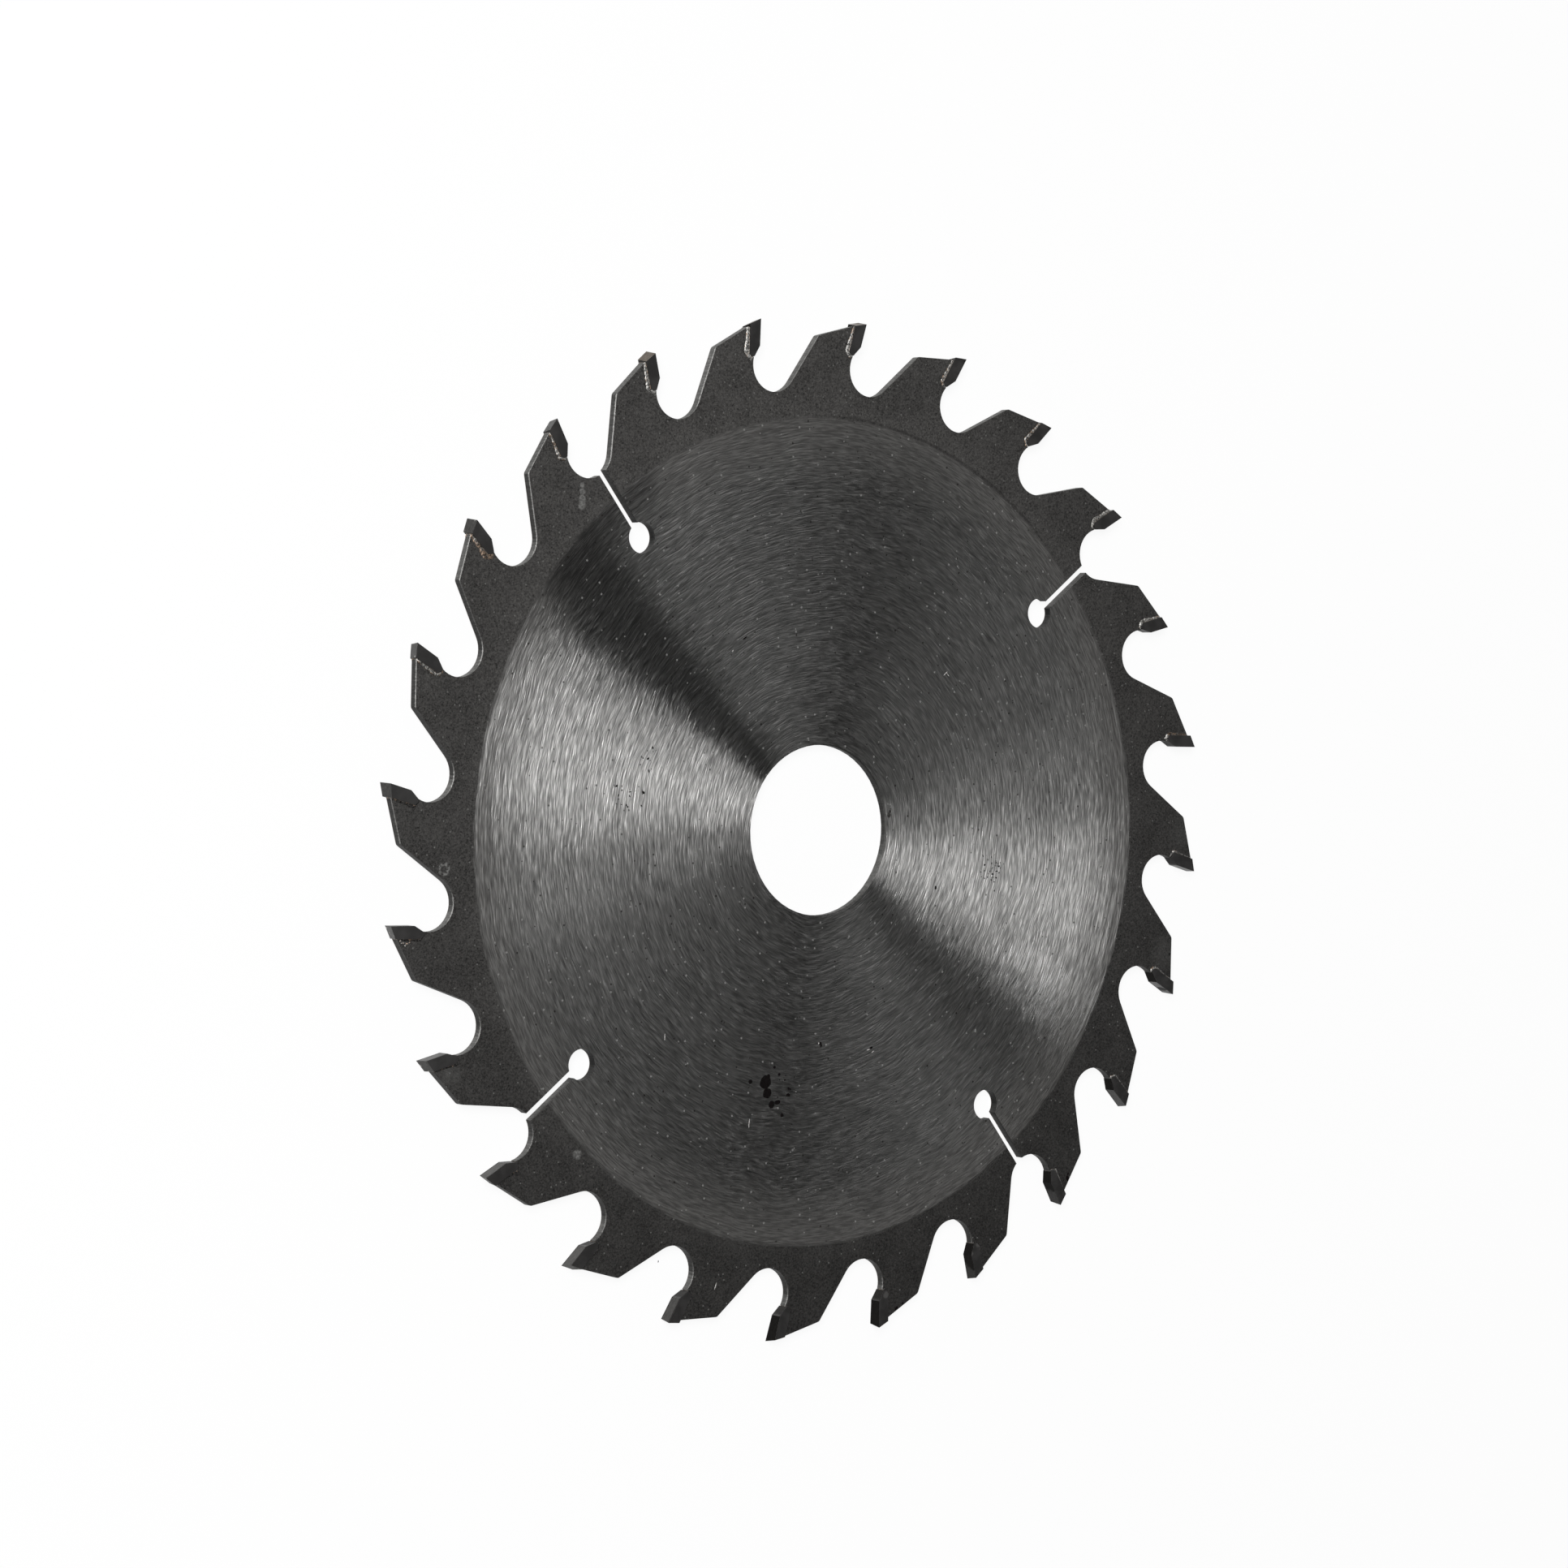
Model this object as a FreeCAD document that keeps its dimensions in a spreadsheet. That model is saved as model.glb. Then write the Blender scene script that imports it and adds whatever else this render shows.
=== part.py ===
import FreeCAD, Part
import Sketcher
import math
import os

# Circular saw blade with brazed carbide tips, in millimetres and degrees.
# It lies in the XY plane. The bore's axis is Z and the middle of the plate is at Z = 0.
# Teeth are counted clockwise, seen from +Z, and the first one points along +Y.
# The teeth cut clockwise: each carbide tip faces the next tooth.

doc = FreeCAD.newDocument("CircularSawBlade")

SIZES = {
    # plate
    "blade_diameter": 180,
    "bore_diameter": 30,
    "bore_chamfer": 0.25,
    "plate_thickness": 1.6,
    "ground_diameter": 146.4,
    "rim_relief": 0.03,
    "rim_slope_width": 0.4,
    "kerf_width": 2.6,
    "tooth_count": 24,
    # tooth form
    "hook_angle": 10,
    "land_angle": 20,
    "land_drop": 0.25,
    "corner_lag": 9.4,
    "corner_radius": 0.8,
    "gullet_depth": 12.95,
    "gullet_radius": 4.65,
    "gullet_lead_angle": 1.5,
    # carbide tip
    "tip_length": 6.6,
    "tip_thickness": 2.15,
    "tip_relief_angle": 15,
    "bevel_angle": 10,
    "radial_clearance_angle": 1.5,
    "tangential_clearance_angle": 3,
    "heel_height": 1.9,
    "heel_width": 1.05,
    "seat_corner_cut": 0.5,
    # braze
    "braze_gap": 0.12,
    "bead_size": 0.2,
    # expansion slots
    "slot_count": 4,
    "slot_first_tooth": 5,
    "teeth_per_slot": 6,
    "slot_width": 1.6,
    "slot_length": 13.45,
    "slot_hole_diameter": 5.4,
    # how far a cut's outline runs past the metal
    "cut_overrun": 2,
}

sheet = doc.addObject("Spreadsheet::Sheet", "Sizes")
for row, (alias, number) in enumerate(SIZES.items(), start=1):
    cell = "A%d" % row
    sheet.set(cell, str(number))
    sheet.setAlias(cell, alias)
doc.recompute()

# Formulas that more than one outline uses.
# A tooth frame has its origin at the cutting point, U ahead of the rake face and V up along it.
OUTER_RADIUS = "Sizes.blade_diameter / 2"
HALF_KERF = "Sizes.kerf_width / 2"
HALF_PLATE = "Sizes.plate_thickness / 2"
HALF_RIM = "(Sizes.plate_thickness / 2 - Sizes.rim_relief)"
PITCH_ANGLE = "360 / Sizes.tooth_count"
GULLET_CENTRE_RADIUS = "(Sizes.blade_diameter / 2 - Sizes.gullet_depth + Sizes.gullet_radius)"
SEAT_BACK = "(Sizes.tip_thickness + Sizes.braze_gap)"
SEAT_FLOOR = "(Sizes.tip_length + Sizes.braze_gap)"
BACK_DROP = "Sizes.tip_thickness * tan(Sizes.tip_relief_angle + Sizes.hook_angle)"
BACK_NARROWING = "Sizes.tip_thickness * tan(Sizes.tangential_clearance_angle)"
THROUGH_PLATE = "2 * Sizes.plate_thickness"
THROUGH_TIP = "2 * Sizes.kerf_width"


def land_height(distance_behind):
    """Height of the tooth's land in the tooth frame, at a distance behind the rake face."""
    return (
        "-Sizes.land_drop * cos(Sizes.hook_angle) - (%s + Sizes.land_drop * sin(Sizes.hook_angle))"
        " * tan(Sizes.land_angle + Sizes.hook_angle)" % distance_behind
    )


def origin_feature(body, role):
    """Origin plane or axis of a body."""
    return next(item for item in body.Origin.OriginFeatures if item.Role == role)


def new_sketch(body, name, plane, offset=None):
    """Sketch on one of the body's origin planes, with a formula for its offset there."""
    sketch = body.newObject("Sketcher::SketchObject", name)
    sketch.AttachmentSupport = [(origin_feature(body, plane), "")]
    sketch.MapMode = "FlatFace"
    if offset:
        sketch.setExpression("AttachmentOffset", offset)
    return sketch


def formula_point(sketch, x, y):
    """Point in the sketch's plane, given by two formulas."""
    return FreeCAD.Vector(float(sketch.evalExpression(x)), float(sketch.evalExpression(y)), 0)


def dimension(sketch, name, kind, references, formula):
    """Named dimension whose value follows a formula on the sheet."""
    value = float(sketch.evalExpression(formula))
    if kind == "Angle":
        value = math.radians(value)
    index = sketch.addConstraint(Sketcher.Constraint(kind, *references, value))
    sketch.renameConstraint(index, name)
    sketch.setExpression("Constraints." + name, formula)


def tie(sketch, kind, *references):
    """Geometric constraint without a value."""
    sketch.addConstraint(Sketcher.Constraint(kind, *references))


def add_outline(sketch, name, corners):
    """Closed outline of straight edges, each corner given by two formulas."""
    points = [formula_point(sketch, x, y) for x, y in corners]
    first = sketch.GeometryCount
    count = len(points)
    for index in range(count):
        sketch.addGeometry(Part.LineSegment(points[index], points[(index + 1) % count]))
    for index in range(count):
        tie(sketch, "Coincident", first + index, 2, first + (index + 1) % count, 1)
    for index, (x, y) in enumerate(corners):
        corner = "%s_%d" % (name, index + 1)
        if x == "0":
            tie(sketch, "PointOnObject", first + index, 1, -2)
        else:
            dimension(sketch, corner + "_x", "DistanceX", (-1, 1, first + index, 1), x)
        if y == "0":
            tie(sketch, "PointOnObject", first + index, 1, -1)
        else:
            dimension(sketch, corner + "_y", "DistanceY", (-1, 1, first + index, 1), y)


def both_sides(feature, profile, length):
    """Set a pad or pocket to run equally to both sides of its sketch."""
    feature.Profile = profile
    feature.SideType = "Symmetric"
    feature.setExpression("Length", length)
    doc.recompute()
    return feature


def polar_pattern(body, name, originals):
    """Polar pattern about the bore's axis, still without its count."""
    pattern = body.newObject("PartDesign::PolarPattern", name)
    pattern.Originals = originals
    pattern.Axis = (origin_feature(body, "Z_Axis"), [""])
    body.Tip = pattern
    return pattern


def make_blank(body):
    """Turned disc with chamfered bore edges, its blasted rim a little lower than its ground faces."""
    section = new_sketch(body, "BlankSection", "XZ_Plane")
    bore = "Sizes.bore_diameter / 2"
    chamfered_bore = "Sizes.bore_diameter / 2 + Sizes.bore_chamfer"
    inner_half = "Sizes.plate_thickness / 2 - Sizes.bore_chamfer"
    ground_edge = "Sizes.ground_diameter / 2"
    rim_edge = "Sizes.ground_diameter / 2 + Sizes.rim_slope_width"
    add_outline(section, "section", [
        (chamfered_bore, "-" + HALF_PLATE),
        (ground_edge, "-" + HALF_PLATE),
        (rim_edge, "-" + HALF_RIM),
        (OUTER_RADIUS, "-" + HALF_RIM),
        (OUTER_RADIUS, HALF_RIM),
        (rim_edge, HALF_RIM),
        (ground_edge, HALF_PLATE),
        (chamfered_bore, HALF_PLATE),
        (bore, inner_half),
        (bore, "-(%s)" % inner_half),
    ])
    blank = body.newObject("PartDesign::Revolution", "Blank")
    blank.Profile = section
    blank.ReferenceAxis = (section, ["V_Axis"])
    blank.Angle = 360
    doc.recompute()


def make_gullet(body):
    """Round gullet ahead of the first tooth."""
    sketch = new_sketch(body, "GulletSketch", "XY_Plane")
    centre_x = GULLET_CENTRE_RADIUS + " * sin(Sizes.gullet_lead_angle)"
    centre_y = GULLET_CENTRE_RADIUS + " * cos(Sizes.gullet_lead_angle)"
    centre = formula_point(sketch, centre_x, centre_y)
    circle = sketch.addGeometry(Part.Circle(centre, FreeCAD.Vector(0, 0, 1), SIZES["gullet_radius"]))
    dimension(sketch, "centre_x", "DistanceX", (-1, 1, circle, 3), centre_x)
    dimension(sketch, "centre_y", "DistanceY", (-1, 1, circle, 3), centre_y)
    dimension(sketch, "radius", "Radius", (circle,), "Sizes.gullet_radius")
    pocket = body.newObject("PartDesign::Pocket", "Gullet")
    return both_sides(pocket, sketch, THROUGH_PLATE)


def make_seat(body):
    """Seat of the first tip, drawn in its tooth frame and open into the gullet."""
    sketch = new_sketch(
        body, "SeatSketch", "XY_Plane",
        "placement(vector(0; %s; 0); rotation(vector(0; 0; 1); -Sizes.hook_angle))" % OUTER_RADIUS,
    )
    over_gullet = (
        "%s * sin(Sizes.hook_angle) - %s * sin(Sizes.hook_angle - Sizes.gullet_lead_angle)"
        % (OUTER_RADIUS, GULLET_CENTRE_RADIUS)
    )
    add_outline(sketch, "seat", [
        ("-" + SEAT_BACK, "Sizes.cut_overrun"),
        ("-" + SEAT_BACK, "Sizes.seat_corner_cut - " + SEAT_FLOOR),
        ("Sizes.seat_corner_cut - " + SEAT_BACK, "-" + SEAT_FLOOR),
        (over_gullet, "-" + SEAT_FLOOR),
        (over_gullet, "Sizes.cut_overrun"),
    ])
    pocket = body.newObject("PartDesign::Pocket", "Seat")
    return both_sides(pocket, sketch, THROUGH_PLATE)


def make_tooth_back(body):
    """Land and back edge of the first tooth, down to where it runs into the gullet behind."""
    sketch = new_sketch(body, "ToothBackSketch", "XY_Plane")
    behind = "(%s - Sizes.gullet_lead_angle)" % PITCH_ANGLE
    gullet_left = GULLET_CENTRE_RADIUS + " * sin(%s)" % behind
    gullet_up = GULLET_CENTRE_RADIUS + " * cos(%s)" % behind
    outer_radius = SIZES["blade_diameter"] / 2 + SIZES["cut_overrun"]
    land_angle = math.radians(SIZES["land_angle"])
    upward = FreeCAD.Vector(0, 0, 1)

    # The land runs through the foot, out over the rim.
    land_foot = FreeCAD.Vector(0, SIZES["blade_diameter"] / 2 - SIZES["land_drop"], 0)
    along_land = FreeCAD.Vector(math.cos(land_angle), math.sin(land_angle), 0)
    rise = land_foot.dot(along_land)
    land_start = land_foot + along_land * (math.sqrt(rise**2 + outer_radius**2 - land_foot.y**2) - rise)
    corner_centre = FreeCAD.Vector(
        -SIZES["corner_lag"],
        land_foot.y
        - SIZES["corner_lag"] * math.tan(land_angle)
        - SIZES["corner_radius"] / math.cos(land_angle),
        0,
    )
    # The back edge touches the corner's arc on one side and the gullet's circle on the other.
    gullet_centre = formula_point(sketch, "-" + gullet_left, gullet_up)
    to_gullet = gullet_centre - corner_centre
    corner_start = math.radians(90) + land_angle
    corner_end = math.atan2(to_gullet.y, to_gullet.x) % math.radians(360) - math.acos(
        (SIZES["corner_radius"] + SIZES["gullet_radius"]) / to_gullet.Length
    )
    back_normal = FreeCAD.Vector(math.cos(corner_end), math.sin(corner_end), 0)
    back_end = gullet_centre - back_normal * SIZES["gullet_radius"]
    rim_end = gullet_centre * (outer_radius / gullet_centre.Length)
    corner_circle = Part.Circle(corner_centre, upward, SIZES["corner_radius"])
    rim_circle = Part.Circle(FreeCAD.Vector(0, 0, 0), upward, outer_radius)
    rim_start_angle = math.atan2(land_start.y, land_start.x)
    rim_end_angle = math.atan2(rim_end.y, rim_end.x)

    foot = sketch.addGeometry(Part.Point(land_foot), True)
    corner = sketch.addGeometry(Part.ArcOfCircle(corner_circle, corner_start, corner_end))
    rim = sketch.addGeometry(Part.ArcOfCircle(rim_circle, rim_start_angle, rim_end_angle))
    land = sketch.addGeometry(Part.LineSegment(corner_circle.value(corner_start), land_start))
    back = sketch.addGeometry(Part.LineSegment(corner_circle.value(corner_end), back_end))
    spoke = sketch.addGeometry(Part.LineSegment(back_end, gullet_centre))
    way_out = sketch.addGeometry(Part.LineSegment(gullet_centre, rim_end))

    tie(sketch, "Coincident", rim, 3, -1, 1)
    tie(sketch, "Coincident", rim, 1, land, 2)
    tie(sketch, "Coincident", rim, 2, way_out, 2)
    tie(sketch, "Tangent", land, 1, corner, 1)
    tie(sketch, "Tangent", corner, 2, back, 1)
    tie(sketch, "Coincident", back, 2, spoke, 1)
    tie(sketch, "Coincident", spoke, 2, way_out, 1)
    tie(sketch, "PointOnObject", -1, 1, way_out)
    tie(sketch, "PointOnObject", foot, 1, -2)
    tie(sketch, "PointOnObject", foot, 1, land)
    tie(sketch, "Perpendicular", back, spoke)
    dimension(sketch, "rim_radius", "Radius", (rim,), OUTER_RADIUS + " + Sizes.cut_overrun")
    dimension(sketch, "land_foot", "DistanceY", (-1, 1, foot, 1), OUTER_RADIUS + " - Sizes.land_drop")
    dimension(sketch, "land_slope", "Angle", (land,), "Sizes.land_angle")
    dimension(sketch, "corner_lag", "DistanceX", (corner, 3, -1, 1), "Sizes.corner_lag")
    dimension(sketch, "corner_radius", "Radius", (corner,), "Sizes.corner_radius")
    dimension(sketch, "spoke_length", "Distance", (spoke,), "Sizes.gullet_radius")
    dimension(sketch, "gullet_x", "DistanceX", (spoke, 2, -1, 1), gullet_left)
    dimension(sketch, "gullet_y", "DistanceY", (-1, 1, spoke, 2), gullet_up)
    pocket = body.newObject("PartDesign::Pocket", "ToothBack")
    return both_sides(pocket, sketch, THROUGH_PLATE)


def make_slot(body):
    """Expansion slot from a gullet's floor to its round end hole."""
    turn = "(Sizes.slot_first_tooth - 1) * %s + Sizes.gullet_lead_angle" % PITCH_ANGLE
    sketch = new_sketch(
        body, "SlotSketch", "XY_Plane",
        "placement(vector(0; 0; 0); rotation(vector(0; 0; 1); -(%s)))" % turn,
    )
    hole_distance = OUTER_RADIUS + " - Sizes.gullet_depth - Sizes.slot_length"
    half_width = SIZES["slot_width"] / 2
    hole_radius = SIZES["slot_hole_diameter"] / 2
    hole_y = float(sketch.evalExpression(hole_distance))
    top_y = float(sketch.evalExpression(GULLET_CENTRE_RADIUS))
    neck_angle = math.asin(half_width / hole_radius)
    neck_y = hole_y + hole_radius * math.cos(neck_angle)
    hole_circle = Part.Circle(FreeCAD.Vector(0, hole_y, 0), FreeCAD.Vector(0, 0, 1), hole_radius)

    neck_left = math.radians(90) + neck_angle
    neck_right = math.radians(90 + 360) - neck_angle
    hole = sketch.addGeometry(Part.ArcOfCircle(hole_circle, neck_left, neck_right))
    right = sketch.addGeometry(Part.LineSegment(
        FreeCAD.Vector(half_width, neck_y, 0), FreeCAD.Vector(half_width, top_y, 0),
    ))
    top = sketch.addGeometry(Part.LineSegment(
        FreeCAD.Vector(half_width, top_y, 0), FreeCAD.Vector(-half_width, top_y, 0),
    ))
    left = sketch.addGeometry(Part.LineSegment(
        FreeCAD.Vector(-half_width, top_y, 0), FreeCAD.Vector(-half_width, neck_y, 0),
    ))
    tie(sketch, "Coincident", hole, 2, right, 1)
    tie(sketch, "Coincident", right, 2, top, 1)
    tie(sketch, "Coincident", top, 2, left, 1)
    tie(sketch, "Coincident", left, 2, hole, 1)
    tie(sketch, "Vertical", right)
    tie(sketch, "Vertical", left)
    tie(sketch, "Symmetric", top, 1, top, 2, -2)
    tie(sketch, "PointOnObject", hole, 3, -2)
    dimension(sketch, "hole_radius", "Radius", (hole,), "Sizes.slot_hole_diameter / 2")
    dimension(sketch, "hole_distance", "DistanceY", (-1, 1, hole, 3), hole_distance)
    dimension(sketch, "mouth_distance", "DistanceY", (-1, 1, top, 1), GULLET_CENTRE_RADIUS)
    dimension(sketch, "slot_width", "DistanceX", (top, 2, top, 1), "Sizes.slot_width")
    pocket = body.newObject("PartDesign::Pocket", "Slot")
    return both_sides(pocket, sketch, THROUGH_PLATE)


def make_plate():
    """Steel disc with its toothed rim and expansion slots, cut as on the real blade."""
    body = doc.addObject("PartDesign::Body", "plate")
    make_blank(body)
    tooth_cuts = [make_gullet(body), make_seat(body), make_tooth_back(body)]
    teeth = polar_pattern(body, "Teeth", tooth_cuts)
    teeth.setExpression("Occurrences", "Sizes.tooth_count")
    doc.recompute()
    slots = polar_pattern(body, "Slots", [make_slot(body)])
    slots.Mode = "Spacing"
    slots.setExpression("Offset", "Sizes.teeth_per_slot * " + PITCH_ANGLE)
    slots.setExpression("Occurrences", "Sizes.slot_count")
    doc.recompute()
    return body


def tooth_frame(tooth):
    """Formula for the placement of a tooth frame, counted clockwise from the first tooth."""
    turn = "%d * %s" % (tooth, PITCH_ANGLE)
    point = "vector(%s * sin(%s); %s * cos(%s); 0)" % (OUTER_RADIUS, turn, OUTER_RADIUS, turn)
    lean = "rotation(vector(0; 0; 1); -(%s + Sizes.hook_angle))" % turn
    return "placement(%s; %s)" % (point, lean)


def tip_section(body, name, setback, top_drop, narrowing, high_side):
    """Cross-section of a tip parallel to its rake face, as V across and Z up."""
    side_slope = "tan(Sizes.radial_clearance_angle)"
    bevel_slope = "tan(Sizes.bevel_angle)"
    high_top = "-(%s + %s * %s) / (1 - %s * %s)" % (
        top_drop, narrowing, bevel_slope, side_slope, bevel_slope,
    )
    low_top = "-(%s + (Sizes.kerf_width - %s) * %s) / (1 + %s * %s)" % (
        top_drop, narrowing, bevel_slope, side_slope, bevel_slope,
    )
    foot = "-Sizes.tip_length"

    def half_width(height):
        return "(%s - %s + (%s) * %s)" % (HALF_KERF, narrowing, height, side_slope)

    sketch = new_sketch(
        body, name, "YZ_Plane",
        "placement(vector(0; 0; -(%s)); rotation(vector(0; 0; 1); 0))" % setback,
    )
    add_outline(sketch, "section", [
        (foot, "-%d * %s" % (high_side, half_width(foot))),
        (low_top, "-%d * %s" % (high_side, half_width(low_top))),
        (high_top, "%d * %s" % (high_side, half_width(high_top))),
        (foot, "%d * %s" % (high_side, half_width(foot))),
    ])
    return sketch


def make_tip(tooth):
    """Carbide tip, widest at its cutting edge, with its top bevelled to one side."""
    body = doc.addObject("PartDesign::Body", "tip_%02d" % (tooth + 1))
    high_side = 1 if tooth % 2 == 0 else -1
    rake_face = tip_section(body, "RakeFace", "0", "0", "0", high_side)
    back_face = tip_section(
        body, "BackFace", "Sizes.tip_thickness", BACK_DROP, BACK_NARROWING, high_side,
    )
    block = body.newObject("PartDesign::AdditiveLoft", "Block")
    block.Profile = rake_face
    block.Sections = [back_face]
    block.Ruled = True
    doc.recompute()
    cuts = new_sketch(body, "FootCuts", "XY_Plane")
    below = "-(Sizes.tip_length + Sizes.cut_overrun)"
    behind = "-(Sizes.tip_thickness + Sizes.cut_overrun)"
    add_outline(cuts, "heel", [
        ("0", "Sizes.heel_height - Sizes.tip_length"),
        ("-Sizes.heel_width", "-Sizes.tip_length"),
        ("-Sizes.heel_width", below),
        ("Sizes.cut_overrun", below),
        ("Sizes.cut_overrun", "Sizes.heel_height - Sizes.tip_length"),
    ])
    add_outline(cuts, "corner", [
        ("-Sizes.tip_thickness", "Sizes.seat_corner_cut - Sizes.tip_length"),
        ("Sizes.seat_corner_cut - Sizes.tip_thickness", "-Sizes.tip_length"),
        ("Sizes.seat_corner_cut - Sizes.tip_thickness", below),
        (behind, below),
        (behind, "Sizes.seat_corner_cut - Sizes.tip_length"),
    ])
    both_sides(body.newObject("PartDesign::Pocket", "Foot"), cuts, THROUGH_TIP)
    body.setExpression("Placement", tooth_frame(tooth))
    return body


def make_braze(tooth):
    """Braze between a tip and its seat, with a bead along the tip's back on both faces."""
    body = doc.addObject("PartDesign::Body", "braze_%02d" % (tooth + 1))
    layer_sketch = new_sketch(body, "LayerSketch", "XY_Plane")
    add_outline(layer_sketch, "layer", [
        ("-" + SEAT_BACK, land_height(SEAT_BACK)),
        ("-" + SEAT_BACK, "Sizes.seat_corner_cut - " + SEAT_FLOOR),
        ("Sizes.seat_corner_cut - " + SEAT_BACK, "-" + SEAT_FLOOR),
        ("-Sizes.heel_width", "-" + SEAT_FLOOR),
        ("-Sizes.heel_width", "-Sizes.tip_length"),
        ("Sizes.seat_corner_cut - Sizes.tip_thickness", "-Sizes.tip_length"),
        ("-Sizes.tip_thickness", "Sizes.seat_corner_cut - Sizes.tip_length"),
        ("-Sizes.tip_thickness", land_height("Sizes.tip_thickness")),
    ])
    both_sides(body.newObject("PartDesign::Pad", "Layer"), layer_sketch, "2 * " + HALF_RIM)

    bead_top = "-(%s)" % land_height("(Sizes.tip_thickness + Sizes.bead_size)")
    bead_sketch = new_sketch(
        body, "BeadSketch", "XZ_Plane",
        "placement(vector(0; 0; %s); rotation(vector(0; 0; 1); 0))" % bead_top,
    )
    for side, name in ((1, "upper"), (-1, "lower")):
        add_outline(bead_sketch, name, [
            ("-Sizes.tip_thickness", "%d * %s" % (side, HALF_RIM)),
            ("-(Sizes.tip_thickness + Sizes.bead_size)", "%d * %s" % (side, HALF_RIM)),
            ("-Sizes.tip_thickness", "%d * (%s + Sizes.bead_size)" % (side, HALF_RIM)),
        ])
    bead = body.newObject("PartDesign::Pad", "Bead")
    bead.Profile = bead_sketch
    bead.setExpression("Length", "Sizes.tip_length - Sizes.seat_corner_cut - (%s)" % bead_top)
    doc.recompute()
    body.setExpression("Placement", tooth_frame(tooth))
    return body


def check(nodes):
    """Stop if a feature failed or a node isn't one sound solid."""
    for item in doc.Objects:
        if "Invalid" in item.State or "Error" in item.State:
            raise RuntimeError("%s failed: %s" % (item.Label, item.State))
    for node in nodes:
        shape = node.Shape
        if shape.isNull() or not shape.isValid() or len(shape.Solids) != 1:
            raise RuntimeError("%s isn't one valid solid" % node.Label)


nodes = [make_plate()]
for tooth in range(SIZES["tooth_count"]):
    nodes.append(make_tip(tooth))
    nodes.append(make_braze(tooth))
doc.recompute()
check(nodes)

os.makedirs("parts", exist_ok=True)
for node in nodes:
    node.Shape.exportStep("parts/%s.step" % node.Label)
    print(node.Label, "volume %.3f mm3" % node.Shape.Volume)
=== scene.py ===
import math
import random

import bmesh
import bpy
from mathutils import Matrix, Vector, noise


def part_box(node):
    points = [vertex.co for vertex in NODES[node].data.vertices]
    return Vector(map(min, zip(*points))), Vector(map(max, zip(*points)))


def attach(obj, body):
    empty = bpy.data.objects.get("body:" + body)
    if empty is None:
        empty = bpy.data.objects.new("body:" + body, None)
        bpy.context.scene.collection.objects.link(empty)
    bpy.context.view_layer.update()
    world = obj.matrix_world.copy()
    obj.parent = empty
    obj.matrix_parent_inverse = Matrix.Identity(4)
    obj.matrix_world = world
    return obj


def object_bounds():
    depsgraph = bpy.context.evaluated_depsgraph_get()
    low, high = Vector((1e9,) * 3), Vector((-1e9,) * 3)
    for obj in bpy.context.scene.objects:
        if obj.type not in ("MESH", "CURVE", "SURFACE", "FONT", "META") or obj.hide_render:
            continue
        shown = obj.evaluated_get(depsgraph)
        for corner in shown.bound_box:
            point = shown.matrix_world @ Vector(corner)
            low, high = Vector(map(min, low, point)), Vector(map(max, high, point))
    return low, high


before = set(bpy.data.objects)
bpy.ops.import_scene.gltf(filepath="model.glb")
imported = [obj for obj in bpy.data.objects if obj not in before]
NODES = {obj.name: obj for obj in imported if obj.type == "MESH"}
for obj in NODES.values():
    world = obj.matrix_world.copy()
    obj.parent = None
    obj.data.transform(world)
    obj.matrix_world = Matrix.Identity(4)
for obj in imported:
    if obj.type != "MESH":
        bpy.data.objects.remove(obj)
cad_low, cad_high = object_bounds()

# Sizes read from the frame, in metres

MILLIMETRE = 0.001
PLATE_POINTS = [v.co.copy() for v in NODES["plate"].data.vertices]
FACE_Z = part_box("plate")[1].z
FLOOR_Z = cad_low.z
GROUND_RADIUS = max(p.xy.length for p in PLATE_POINTS if abs(p.z - FACE_Z) < 1e-6)
RIM_Z = max((p.xy.length, abs(p.z)) for p in PLATE_POINTS)[1]
BORE_RADIUS = min(p.xy.length for p in PLATE_POINTS)
TIP_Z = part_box("tip_01")[1].z
TIP_NAMES = sorted(name for name in NODES if name.startswith("tip_"))
BRAZE_NAMES = sorted(name for name in NODES if name.startswith("braze_"))
TOOTH_STEP = 2 * math.pi / len(TIP_NAMES)

# The camera looks down on the lying blade at the angle of the photograph

CAMERA_PLACE = Vector((-0.46011, 0.10376, 0.60420))
CAMERA_AIM = Vector((-0.00651, 0.00936, 0.00080))
CAMERA_UP = Vector((0.16763, 0.98545, -0.02815))
CAMERA_LENS = 100.12
SENSOR_WIDTH = 36.0

# Studio lights: azimuth and elevation in degrees, distance, half sizes, roll, radiance

LIGHTS = {
    "main_softbox": (145.6, 47.7, 1.96, 0.700, 0.463, 2.4, 10.2),
    "core_softbox": (147.0, 47.7, 1.96, 0.250, 0.463, 2.4, 3.4),
    "edge_softbox": (194.0, 47.7, 1.96, 0.280, 0.463, 0.0, 1.6),
    "left_fill": (49.8, 42.9, 1.55, 0.514, 0.483, -18.4, 0.40),
    "spot_fill": (66.0, 42.9, 1.55, 0.150, 0.450, -10.0, 0.42),
    "top_fill": (277.8, 84.9, 1.11, 0.794, 0.196, -25.4, 0.36),
}
STUDIO_GREY = 0.008
HORIZON_LOW = 0.17
HORIZON_HIGH = 0.26

# The grinding lines open out a little from the bore, and the ground area is slightly off centre

LAY_RADIUS = 0.047
LAY_TURN = 2.3
GROUND_SHIFT = (0.17 * MILLIMETRE, -0.47 * MILLIMETRE)
GROUND_EDGE = GROUND_RADIUS - 0.5 * MILLIMETRE

# Radii over which the blasting shows more and more through the light grinding

BLASTING_SHOWS = (61.0 * MILLIMETRE, 71.5 * MILLIMETRE)

# Radii beyond which, and within which, a wall belongs to no slot hole and gets no painted shade

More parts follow.
